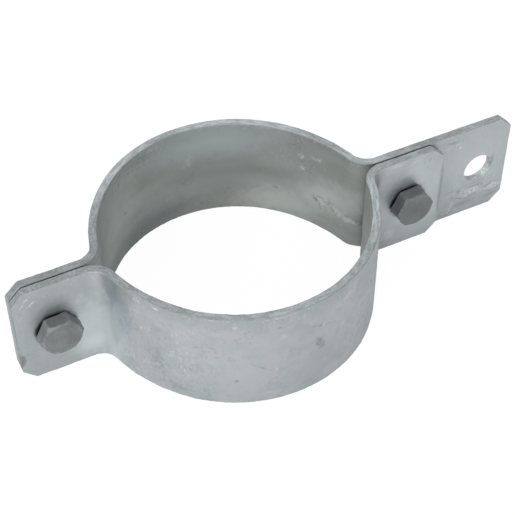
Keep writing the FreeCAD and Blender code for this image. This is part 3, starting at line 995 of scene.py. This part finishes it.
@dataclass
class Strap:
    """A strap bent from flat bar: a half ring with an ear at each end.

    The bar is a thin core plate swollen by the edge radius, so that all of its edges are round. Its points
    are given by their distance along the middle line, their offset from it away from the pipe, and their
    height. Waves are given by their shortest and longest wavelengths.
    """

    node: str
    side: Side
    holes: Sequence[Hole]
    marks: Sequence[Mark]
    seed: int
    thickness: float = 3.0
    flank_radius: float = 54.0
    crown_half_angle: float = math.radians(45)
    bend_radius: float = 6.0
    corner_cut: float = 4.5
    corner_softness: float = 0.2
    edge_radius: float = 0.4
    window: float = 6.5
    step: float = 0.5
    round_steps: int = 4
    flat_steps: int = 4
    ring_steps: int = 6
    skin: float = 0.07
    swell: float = 0.035
    swell_waves: tuple[float, float] = (7.0, 24.0)
    ripple: float = 0.012
    ripple_waves: tuple[float, float] = (2.2, 5.5)
    bead: float = 0.025
    bead_waves: tuple[float, float] = (1.2, 3.0)
    bead_reach: float = 0.88
    plain_share: float = 0.6
    mottled_ripples: float = 1.4
    lump_height: float = 0.5
    ridge_waves: tuple[float, float] = (1.6, 4.5)
    ridge_depth: float = 0.6
    ridge_limit: float = 1.5
    nick_depth: float = 0.4
    mark_waves: tuple[float, float] = (2.0, 9.0)

    def __post_init__(self) -> None:
        """Reads the bar's width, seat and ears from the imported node, and lays out the middle line."""
        low, high = box_mm(self.node)
        self.width = high[2] - low[2]
        self.floor = low[2]
        self.crown_radius = max(abs(low[1]), abs(high[1])) - self.thickness
        self.ends = (low[0], high[0])
        self.line = self.middle_line(min(abs(low[1]), abs(high[1])))

    def middle_line(self, ear_face: float) -> MiddleLine:
        """Chains the left ear, its bend, the flank, the crown, the other flank, its bend and the right ear.

        Args:
            ear_face: The distance of the ears' facing sides from the joint plane.

        Returns:
            The bar's middle line.
        """
        half = self.thickness / 2
        across = self.side.value
        slope = math.pi / 2 - self.crown_half_angle
        shift = self.flank_radius - self.crown_radius
        bend_height = ear_face + self.thickness + self.bend_radius
        reach = self.flank_radius + self.thickness + self.bend_radius
        lean = math.asin((bend_height + shift * math.sin(slope)) / reach)
        bend_place = reach * math.cos(lean) - shift * math.cos(slope)
        bend_turn = math.pi / 2 - lean
        flank_turn = slope - lean
        crown_turn = 2 * self.crown_half_angle
        bend = Run((self.bend_radius + half) * bend_turn, across * bend_turn)
        flank = Run((self.flank_radius + half) * flank_turn, -across * flank_turn)
        crown = Run((self.crown_radius + half) * crown_turn, -across * crown_turn)
        left, right = [Run(abs(end) - bend_place, 0.0) for end in self.ends]
        start = (self.ends[0], across * (ear_face + half))
        return MiddleLine(start, [left, bend, flank, crown, flank, bend, right])

    def hole_along(self, hole: Hole) -> float:
        """Gives a hole's distance along the bar, measured from its nearer end on the straight ear."""
        if hole.offset < 0:
            return hole.offset - self.ends[0]
        return self.line.length - (self.ends[1] - hole.offset)

    def bent(self, along: Array, outward: Array, height: Array, faces: Array) -> Surface:
        """Carries places on the flat bar onto the bent one, and keeps those places as marks.

        Args:
            along: Distances along the middle line.
            outward: Offsets from it, away from the pipe.
            height: Heights from the bar's middle.
            faces: The faces between the points.

        Returns:
            The bent surface.
        """
        points, left = self.line.at(along.ravel())
        flat = points + outward.reshape(-1, 1) * left * self.side.value
        lift = height.reshape(-1, 1) + self.floor + self.width / 2
        share = outward.ravel() * 2 / self.thickness
        marks = {"along": along.ravel(), "across": height.ravel(), "outward": share}
        return Surface(np.hstack([flat, lift]), faces, marks)

    def stations(self) -> tuple[Array, Array, Array]:
        """Divides the bar's length. The swelling falls to nothing at the ends on a quarter circle.

        Returns:
            The distance along the bar of each station, its half width and its swelling.
        """
        radius = self.edge_radius
        length = self.line.length
        edges = [self.hole_along(hole) + way * self.window for hole in self.holes for way in (-1, 1)]
        cuts = [self.corner_cut, length - self.corner_cut]
        straight = spaced(sorted([radius, *cuts, *edges, length - radius]), self.step)
        turns = np.linspace(0, math.pi / 2, self.round_steps + 1)[1:]
        inset = radius * (1 - np.sin(turns))
        along = np.concatenate([inset[::-1], straight, length - inset])
        fall = radius * np.cos(turns)
        swelling = np.concatenate([fall[::-1], np.full(len(straight), radius), fall])
        cut = self.corner_cut - np.minimum(along, length - along)
        narrowing = (cut + np.hypot(cut, self.corner_softness)) / 2
        return along, self.width / 2 - narrowing, swelling

    def face_shares(self) -> Array:
        """Divides a face's height into shares of its half height, with lines at the holes' windows."""
        reach = self.width / 2 - self.edge_radius
        return spaced([-reach, -self.window, self.window, reach], self.step) / reach

    def section(self) -> tuple[Array, Array, Array]:
        """Goes round the core plate's section: up the outer face, over the top, down the inner face and back.

        Returns:
            For each point of the loop, its offset, its share of the half height and the angle of its swelling
            from the outward direction.
        """
        shares = self.face_shares()
        half = self.thickness / 2 - self.edge_radius
        quarter = np.linspace(0, math.pi / 2, self.round_steps + 1)[1:-1]
        crossing = np.linspace(half, -half, self.flat_steps + 1)
        turns = len(quarter)
        offset = np.concatenate([np.full(len(shares) + turns, half), crossing, np.full(turns, -half)])
        height = np.concatenate([shares, np.ones(2 * turns + len(crossing))])
        upward = np.full(len(crossing), math.pi / 2)
        angle = np.concatenate([np.zeros(len(shares)), quarter, upward, quarter + math.pi / 2])
        return (
            np.concatenate([offset, -offset]),
            np.concatenate([height, -height]),
            np.concatenate([angle, angle + math.pi]),
        )

    def bar(self) -> tuple[Surface, Array, Array]:
        """Sweeps the section along the bar and closes both ends with flat grids.

        Returns:
            The bar with no holes, its grid of point indices, and its stations.
        """
        along, half_width, swelling = self.stations()
        offsets, shares, angle = self.section()
        outward = offsets + swelling[:, None] * np.cos(angle)
        height = shares * (half_width - self.edge_radius)[:, None] + swelling[:, None] * np.sin(angle)
        grid = np.arange(outward.size).reshape(outward.shape)
        distance = np.broadcast_to(along[:, None], outward.shape)
        surface = self.bent(distance, outward, height, grid_faces(grid, wrap_columns=True))
        lines = len(self.face_shares())
        back = len(offsets) // 2 + np.arange(lines)[::-1]
        share = np.linspace(0, 1, self.flat_steps + 1)[:, None]
        for row in (0, -1):
            across = outward[row, :lines] * (1 - share) + outward[row, back] * share
            upward = np.broadcast_to(height[row, :lines], across.shape)
            index = np.arange(across.size).reshape(across.shape)
            end = np.full(across.shape, along[row])
            surface = surface.joined(self.bent(end, across, upward, grid_faces(index)))
        return surface, grid, along

    def drilled(self) -> Surface:
        """Cuts a square window round each hole out of both faces and fills it with rings that line the hole.

        Returns:
            The bar with its holes.
        """
        surface, grid, along = self.bar()
        columns = grid.shape[1]
        lines = len(self.face_shares())
        heights = surface.marks["across"][grid[len(grid) // 2, :lines]]
        low, high = [int(np.argmin(abs(heights - way * self.window))) for way in (-1, 1)]
        outer = np.arange(low, high + 1)
        inner = columns // 2 + lines - 1 - outer
        kept = np.ones(len(surface.faces), bool)
        rings = []
        for hole in self.holes:
            middle = self.hole_along(hole)
            first, last = [int(np.argmin(abs(along - middle - way * self.window))) for way in (-1, 1)]
            rows = np.arange(first, last)[:, None] * columns
            kept[(rows + outer[:-1]).ravel()] = False
            kept[(rows + inner[1:]).ravel()] = False
            edge = perimeter(grid[first : last + 1, low : high + 1])
            edge_along = surface.marks["along"][edge] - middle
            rings.append(self.hole_rings(hole, edge_along, surface.marks["across"][edge]))
        surface.faces = surface.faces[kept]
        for ring in rings:
            surface = surface.joined(ring)
        return surface

    def hole_rings(self, hole: Hole, edge_along: Array, edge_height: Array) -> Surface:
        """Lines one hole with rings from the window's edge to the lip, over the lip and through the bar.

        Args:
            hole: The hole.
            edge_along: The window's edge, as distances along the bar from the hole's axis.
            edge_height: The same edge's heights.

        Returns:
            The rings, from the outer face's window to the inner face's.
        """
        angle = np.arctan2(edge_height, edge_along)
        half = self.thickness / 2
        share = np.linspace(0, 1, self.ring_steps + 1)[:, None]
        rim = hole.radius + hole.lip
        flat_along = edge_along + (rim * np.cos(angle) - edge_along) * share
        flat_height = edge_height + (rim * np.sin(angle) - edge_height) * share
        turn = np.linspace(0, math.pi / 2, self.round_steps + 1)[1:]
        lip = rim - hole.lip * np.sin(turn)
        drop = half - hole.lip * (1 - np.cos(turn))
        wall = np.linspace(drop[-1], -drop[-1], self.flat_steps + 1)[1:-1]
        radii = np.concatenate([lip, np.full(len(wall), hole.radius), lip[::-1]])[:, None]
        flat = np.full(len(share), half)
        depth = np.concatenate([flat, drop, wall, -drop[::-1], -flat])
        ring_along = np.vstack([flat_along, radii * np.cos(angle), flat_along[::-1]]) + self.hole_along(hole)
        ring_height = np.vstack([flat_height, radii * np.sin(angle), flat_height[::-1]])
        ring_depth = np.broadcast_to(depth[:, None], ring_along.shape)
        index = np.arange(ring_along.size).reshape(ring_along.shape)
        return self.bent(ring_along, ring_depth, ring_height, grid_faces(index, wrap_columns=True))

    def mark_up(self, surface: Surface) -> None:
        """Adds the local marks to a surface, one array for each kind.

        Args:
            surface: The welded strap.
        """
        waver = Waves(self.seed, *self.mark_waves).at(surface.points)
        places = dict(surface.marks)
        for kind in MarkKind:
            masks = [mark.mask(places, waver) for mark in self.marks if mark.kind is kind]
            blank = np.zeros(len(surface.points))
            surface.marks[kind.value] = np.max([blank, *masks], axis=0)

    def relief(self, surface: Surface) -> Array:
        """Gives the zinc's unevenness: swells, short ripples, beads along the edges, rough lumps and nicks.

        Swells and ripples are larger where the zinc is mottled. Lumps have ridges where a random field is
        near nothing. The skin lowers it all, to keep it in the solid.

        Args:
            surface: The welded strap with its marks.

        Returns:
            How far each point stands out.
        """
        points = surface.points
        mottle = surface.marks[MarkKind.MOTTLE.value]
        from_edge = self.width / 2 - abs(surface.marks["across"])
        edge = smooth((self.bead_reach - from_edge) / self.bead_reach)
        lengths = (self.ridge_waves, self.swell_waves, self.ripple_waves, self.bead_waves)
        fields = [Waves(self.seed + number, *pair).at(points) for number, pair in enumerate(lengths, start=1)]
        uneven, swells, ripples, beads = fields
        ridges = 1.0 - self.ridge_depth * np.minimum(abs(uneven), self.ridge_limit)
        lumps = surface.marks[MarkKind.LUMP.value] * self.lump_height * ridges
        swells = swells * self.swell * (self.plain_share + mottle)
        ripples = ripples * self.ripple * (self.plain_share + self.mottled_ripples * mottle)
        nicks = surface.marks[MarkKind.NICK.value] * self.nick_depth
        return swells + ripples + beads * self.bead * edge + lumps - nicks - self.skin

    def build(self) -> bpy.types.Object:
        """Makes the strap's piece.

        Returns:
            The piece.
        """
        surface = self.drilled().welded()
        self.mark_up(surface)
        return make_piece(f"{self.node}_zinc", self.node, surface, self.relief(surface))


# Bolts and nuts


def unit(vectors: Array) -> Array:
    """Scales vectors to a length of one."""
    return vectors / np.maximum(np.linalg.norm(vectors, axis=-1, keepdims=True), TINY)


def soft_profile(
    corners: Array, cuts: Sequence[float], steps: Sequence[int], turn_steps: int = 4
) -> tuple[Array, Array]:
    """Rounds the corners of a profile.

    Each inner corner becomes a parabola from one leg to the other, which starts and ends a cut's length from
    it. The legs between are divided evenly.

    Args:
        corners: The corners as radius and height, for every direction: corner, direction, coordinate.
        cuts: The length cut off both legs at each inner corner.
        steps: How many parts each leg is divided into.
        turn_steps: How many parts each parabola is divided into.

    Returns:
        The profile's points in order, in the same form, and for each of its rows whether it is on a parabola.
    """
    rows = [corners[:1]]
    turning = [np.zeros(1)]
    start = corners[0]
    for number, count in enumerate(steps):
        end = corners[number + 1]
        inner = number + 1 < len(corners) - 1
        stop = end - unit(end - start) * cuts[number] if inner else end
        share = np.linspace(0, 1, count + 1)[1:, None, None]
        rows.append(start + (stop - start) * share)
        turning.append(np.zeros(count))
        if inner:
            leave = end + unit(corners[number + 2] - end) * cuts[number]
            turn = np.linspace(0, 1, turn_steps + 1)[1:, None, None]
            rows.append((1 - turn) ** 2 * stop + 2 * turn * (1 - turn) * end + turn**2 * leave)
            turning.append(np.ones(turn_steps))
            start = leave
    return np.vstack(rows), np.concatenate(turning)


@dataclass
class Fastener:
    """What bolts and nuts share: a softened hexagon about an axis along Y.

    The hexagon's radius in a direction is the half width across flats, over the p-norm of the cosines of the
    angles to the six flats. The power p sets how sharp its corners are. Wear starts at a share of the half
    width across flats. The surface is sunk by a number of times its unevenness, to keep it in the solid.
    """

    node: str
    turn: float
    across_flats: float = 13.0
    face_inset: float = 0.3
    chamfer_slope: float = math.tan(math.radians(30))
    sharpness: float = 60.0
    directions: int = 180
    wear_start: float = 1.08
    wear_fade: float = 0.05
    unevenness: float = 0.018
    waves: tuple[float, float] = (1.5, 5.0)
    sunk: float = 2.0
    seed: int = 5

    def angles(self) -> Array:
        """Gives the directions about the axis."""
        return np.linspace(0, 2 * math.pi, self.directions, endpoint=False)

    def hexagon(self) -> Array:
        """Gives the hexagon's radius in each direction."""
        flats = self.turn + math.radians(30) + np.arange(6) * math.pi / 3
        cosines = np.maximum(np.cos(self.angles()[:, None] - flats), 0.0)
        return self.across_flats / 2 / (cosines**self.sharpness).sum(axis=1) ** (1 / self.sharpness)

    def chamfered(self) -> tuple[Array, float, Array]:
        """Gives the hexagon's radius, its round face's radius, and how far the chamfer between them falls."""
        rim = self.hexagon()
        face = self.across_flats / 2 - self.face_inset
        return rim, face, (rim - face) * self.chamfer_slope

    def stacked(self, *corners: tuple[Union[float, Array], Union[float, Array]]) -> Array:
        """Lists corners whose radius and height are numbers or differ with the direction."""
        blank = np.zeros(self.directions)
        return np.array([np.stack([blank + radius, blank + height], axis=-1) for radius, height in corners])

    def spun(self, profile: Array, wear: Array, toward: int, base: float, closed: bool) -> bpy.types.Object:
        """Turns a profile about the axis and makes the piece of it.

        Args:
            profile: Radius and height of each point: row, direction, coordinate.
            wear: How worn each row is.
            toward: The way along Y that heights count.
            base: The place along Y of height nothing.
            closed: Whether the profile's end meets its start.

        Returns:
            The piece.
        """
        middle = middle_mm(self.node)
        angle = self.angles()
        radius, height = profile[..., 0], profile[..., 1]
        x = middle[0] + radius * np.cos(angle)
        z = middle[2] + radius * np.sin(angle)
        y = base + toward * height
        index = np.arange(radius.size).reshape(radius.shape)
        points = np.stack([x, y, z], axis=-1).reshape(-1, 3)
        corner = smooth((radius / (self.across_flats / 2) - self.wear_start) / self.wear_fade)
        worn = np.maximum(corner, np.broadcast_to(wear[:, None], radius.shape)).ravel()
        faces = grid_faces(index, wrap_rows=closed, wrap_columns=True)
        surface = Surface(points, faces, {"wear": worn}).welded()
        relief = (Waves(self.seed, *self.waves).at(surface.points) - self.sunk) * self.unevenness
        return make_piece(f"{self.node}_steel", self.node, surface, relief)


@dataclass
class Bolt(Fastener):
    """A hex bolt with its head in front of the ears and its thread behind them."""

    head_height: float = 5.3
    shank_radius: float = 4.0
    pitch: float = 1.25
    thread_depth: float = 0.62
    thread_steepness: float = 1.25
    thread_rows: int = 8
    tip_cut: float = 1.0
    washer_radius: float = 5.6
    washer_height: float = 0.6
    corner_cuts: tuple[float, ...] = (0.45, 0.18, 0.10, 0.08, 0.08)
    leg_steps: tuple[int, ...] = (8, 4, 8, 3, 2, 3)

    def build(self) -> bpy.types.Object:
        """Makes the bolt's piece: the head's profile, then the thread down to the tip.

        The thread's radius falls and rises evenly once in each pitch, with short flats between, at a height
        that climbs by a pitch in a turn.

        Returns:
            The piece.
        """
        low, high = box_mm(self.node)
        seat = low[1] + self.head_height
        length = high[1] - seat
        rim, face, fall = self.chamfered()
        head, wear = soft_profile(
            self.stacked(
                (0.0, self.head_height),
                (face, self.head_height),
                (rim, self.head_height - fall),
                (rim, self.washer_height),
                (self.washer_radius, self.washer_height),
                (self.washer_radius, 0.0),
                (self.shank_radius, 0.0),
            ),
            self.corner_cuts,
            self.leg_steps,
        )
        drop = np.linspace(0, 1, int(length / self.pitch * self.thread_rows) + 1)[1:, None] * length
        phase = (drop / self.pitch + self.angles() / (2 * math.pi)) % 1.0
        groove = np.clip((0.5 - abs(2 * phase - 1)) * self.thread_steepness + 0.5, 0, 1)
        radius = self.shank_radius - self.thread_depth * groove
        radius = np.minimum(radius, self.shank_radius - self.tip_cut + (length - drop))
        thread = np.stack([radius, np.broadcast_to(-drop, radius.shape)], axis=-1)
        tip = self.stacked((self.shank_radius / 2, -length), (0.0, -length))
        profile = np.vstack([head, thread, tip])
        return self.spun(profile, np.pad(wear, (0, len(profile) - len(wear))), -1, seat, False)


@dataclass
class Nut(Fastener):
    """A hex nut behind the rear ears, with chamfers on both faces and a countersunk bore."""

    bore_radius: float = 4.1
    countersink: float = 0.5
    corner_cuts: tuple[float, ...] = (0.30, 0.20, 0.20, 0.30, 0.08, 0.08, 0.08)
    leg_steps: tuple[int, ...] = (4, 4, 8, 4, 4, 2, 6, 2)

    def build(self) -> bpy.types.Object:
        """Makes the nut's piece from a profile that runs down its outside and back up its bore.

        Returns:
            The piece.
        """
        low, high = box_mm(self.node)
        height = high[1] - low[1]
        rim, face, fall = self.chamfered()
        mouth = self.bore_radius + self.countersink
        profile, wear = soft_profile(
            self.stacked(
                (mouth, height),
                (face, height),
                (rim, height - fall),
                (rim, fall),
                (face, 0.0),
                (mouth, 0.0),
                (self.bore_radius, self.countersink),
                (self.bore_radius, height - self.countersink),
                (mouth, height),
            ),
            self.corner_cuts,
            self.leg_steps,
        )
        return self.spun(profile[:-1], wear[:-1], 1, low[1], True)


# Floor, light and camera


def direction(azimuth: float, elevation: float) -> Vector:
    """Gives the unit vector towards an azimuth, counted from the front, and an elevation, in radians."""
    level = math.cos(elevation)
    return Vector((math.sin(azimuth) * level, -math.cos(azimuth) * level, math.sin(elevation)))


def hang(name: str, data: bpy.types.ID, place: Vector, back: Vector) -> bpy.types.Object:
    """Makes an object of a lamp or a camera.

    Args:
        name: The object's name.
        data: The lamp or the camera.
        place: Where it hangs, in millimetres.
        back: The direction that it looks away from.

    Returns:
        The object.
    """
    made = bpy.data.objects.new(name, data)
    made.location = place * MM
    made.rotation_euler = (-back).to_track_quat("-Z", "Y").to_euler()
    bpy.context.scene.collection.objects.link(made)
    return made


@dataclass(frozen=True)
class Lamp:
    """A square soft lamp that faces the clamp: where it hangs, how wide it is and its power in watts."""

    azimuth: float
    elevation: float
    distance: float
    width: float
    power: float

    def build(self) -> None:
        """Hangs the lamp."""
        way = direction(math.radians(self.azimuth), math.radians(self.elevation))
        data = bpy.data.lights.new("soft_lamp", "AREA")
        data.size = self.width * MM
        data.energy = self.power
        hang("soft_lamp", data, way * self.distance, way)


@dataclass(frozen=True)
class Studio:
    """A pale floor under a plain grey sky, with a low soft lamp at the front left and a weak one behind.

    The floor and the sky look white to the camera. In the metal they show mostly as they are lit, so that the
    floor inside the ring is as dim there as its shadow makes it.
    """

    floor_half: float = 1500.0
    floor_drop: float = 0.15
    floor_colour: Colour = (0.9, 0.9, 0.9)
    camera_glow: float = 0.92
    glow_strength: float = 1.04
    mirror_glow: float = 0.10
    sky: Colour = (0.62, 0.63, 0.64)
    lamps: tuple[Lamp, ...] = (Lamp(-48.0, 19.0, 1000.0, 700.0, 7.0), Lamp(180.0, 45.0, 1000.0, 700.0, 2.0))

    def build(self) -> None:
        """Lays the floor and sets the light."""
        self.lay_floor()
        self.light_sky()
        for lamp in self.lamps:
            lamp.build()

    def glow_share(self, graph: Graph) -> Value:
        """Gives how much a surface glows white: for the camera, and in mirror images and through glass."""
        camera = graph.node("ShaderNodeLightPath", output="Is Camera Ray")
        mirror = graph.node("ShaderNodeLightPath", output="Is Glossy Ray")
        through = graph.node("ShaderNodeLightPath", output="Is Transmission Ray")
        return camera * self.camera_glow + mirror.larger(through) * self.mirror_glow

    def lay_floor(self) -> None:
        """Lays the floor: one plain plate."""
        edge = np.array([-1.0, 1.0]) * self.floor_half
        x, y = np.meshgrid(edge, edge)
        points = np.stack([x, y, np.full(x.shape, -self.floor_drop)], axis=-1).reshape(-1, 3)
        mesh = bpy.data.meshes.new("floor")
        mesh.from_pydata((points * MM).tolist(), [], [(0, 1, 3, 2)])
        floor = bpy.data.objects.new("floor", mesh)
        bpy.context.scene.collection.objects.link(floor)
        made, graph = new_material("pale_floor")
        paint = graph.node("ShaderNodeBsdfDiffuse", {}, {"Color": opaque(self.floor_colour)})
        white = {"Color": opaque(WHITE), "Strength": self.glow_strength}
        glow = graph.node("ShaderNodeEmission", {}, white)
        inputs = {"Fac": self.glow_share(graph), "Shader": paint, "Shader_001": glow}
        graph.node("ShaderNodeOutputMaterial", {}, {"Surface": graph.node("ShaderNodeMixShader", {}, inputs)})
        mesh.materials.append(made)

    def light_sky(self) -> None:
        """Gives the world one plain colour, which the camera sees as white."""
        world = bpy.data.worlds.new("soft_sky")
        world.use_nodes = True
        graph = Graph(world.node_tree)
        colour = graph.blend(self.sky, WHITE, self.glow_share(graph))
        light = graph.node("ShaderNodeBackground", {}, {"Color": colour, "Strength": 1.0})
        graph.node("ShaderNodeOutputWorld", {}, {"Surface": light})
        bpy.context.scene.world = world


@dataclass(frozen=True)
class PhotoCamera:
    """The camera at the photograph's place: where it looks from, how far it stands and its aim and lens."""

    azimuth: float = math.radians(-26.678)
    elevation: float = math.radians(46.05)
    distance: float = 457.676
    aim: tuple[float, float, float] = (0.0, 0.0, 20.0)
    aim_right: float = 7.12
    aim_up: float = -0.785
    lens: float = 95.50
    sensor: float = 36.0
    clip_share: float = 0.05

    def build(self) -> None:
        """Sets up the camera."""
        back = direction(self.azimuth, self.elevation)
        right = Vector((math.cos(self.azimuth), math.sin(self.azimuth), 0.0))
        up = back.cross(right)
        data = bpy.data.cameras.new("photo_camera")
        data.lens = self.lens
        data.sensor_width = self.sensor
        data.clip_start = self.distance * MM * self.clip_share
        place = Vector(self.aim) + right * self.aim_right + up * self.aim_up + back * self.distance
        bpy.context.scene.camera = hang("photo_camera", data, place, back)


# The whole clamp


@dataclass
class PipeClamp:
    """The clamp: its straps and fasteners, with their finishes."""

    bolt_clearance: float = 0.5
    bolt_hole_lip: float = 0.35
    connection_lip: float = 0.25
    left_head_turn: float = math.radians(63.5)
    right_head_turn: float = math.radians(63.5)
    left_nut_turn: float = math.radians(70)
    right_nut_turn: float = math.radians(35)

    def straps(self) -> list[Strap]:
        """Lists both straps, with the bolts' holes and the connection hole at their packed places."""
        radius = Bolt.shank_radius + self.bolt_clearance
        bolts = ("left_bolt", "right_bolt")
        bolt_holes = [Hole(middle_mm(node)[0], radius, self.bolt_hole_lip) for node in bolts]
        entry = mount("connection_hole")
        connection = Hole(entry["pos_m"][0] / MM, entry["dims"]["r_mm"], self.connection_lip)
        return [
            Strap("front_strap", Side.FRONT, bolt_holes, listed(FRONT_MARKS), seed=11),
            Strap("rear_strap", Side.REAR, [*bolt_holes, connection], listed(REAR_MARKS), seed=23),
        ]

    def fasteners(self) -> list[Union[Bolt, Nut]]:
        """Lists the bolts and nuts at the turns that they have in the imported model."""
        return [
            Bolt("left_bolt", self.left_head_turn, seed=31),
            Bolt("right_bolt", self.right_head_turn, seed=37),
            Nut("left_nut", self.left_nut_turn, seed=41),
            Nut("right_nut", self.right_nut_turn, seed=43),
        ]

    def build(self) -> None:
        """Makes every piece, dresses it and hangs it on the clamp's body."""
        dressed = [
            (self.straps(), "galvanised_strap", Galvanising().material()),
            (self.fasteners(), "fasteners", DullSteel().material()),
        ]
        for makers, slot, material in dressed:
            for maker in makers:
                piece = maker.build()
                piece.data.materials.append(material)
                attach(piece, BODY)
                LOG.info("%s: %d faces", piece.name, len(piece.data.polygons))


def main() -> None:
    """Builds the clamp, then the floor, the light and the camera."""
    logging.basicConfig(level=logging.INFO, format="%(name)s %(message)s")
    PipeClamp().build()
    Studio().build()
    PhotoCamera().build()
    bpy.context.scene.view_settings.view_transform = "Standard"


if __name__ == "__main__":
    main()
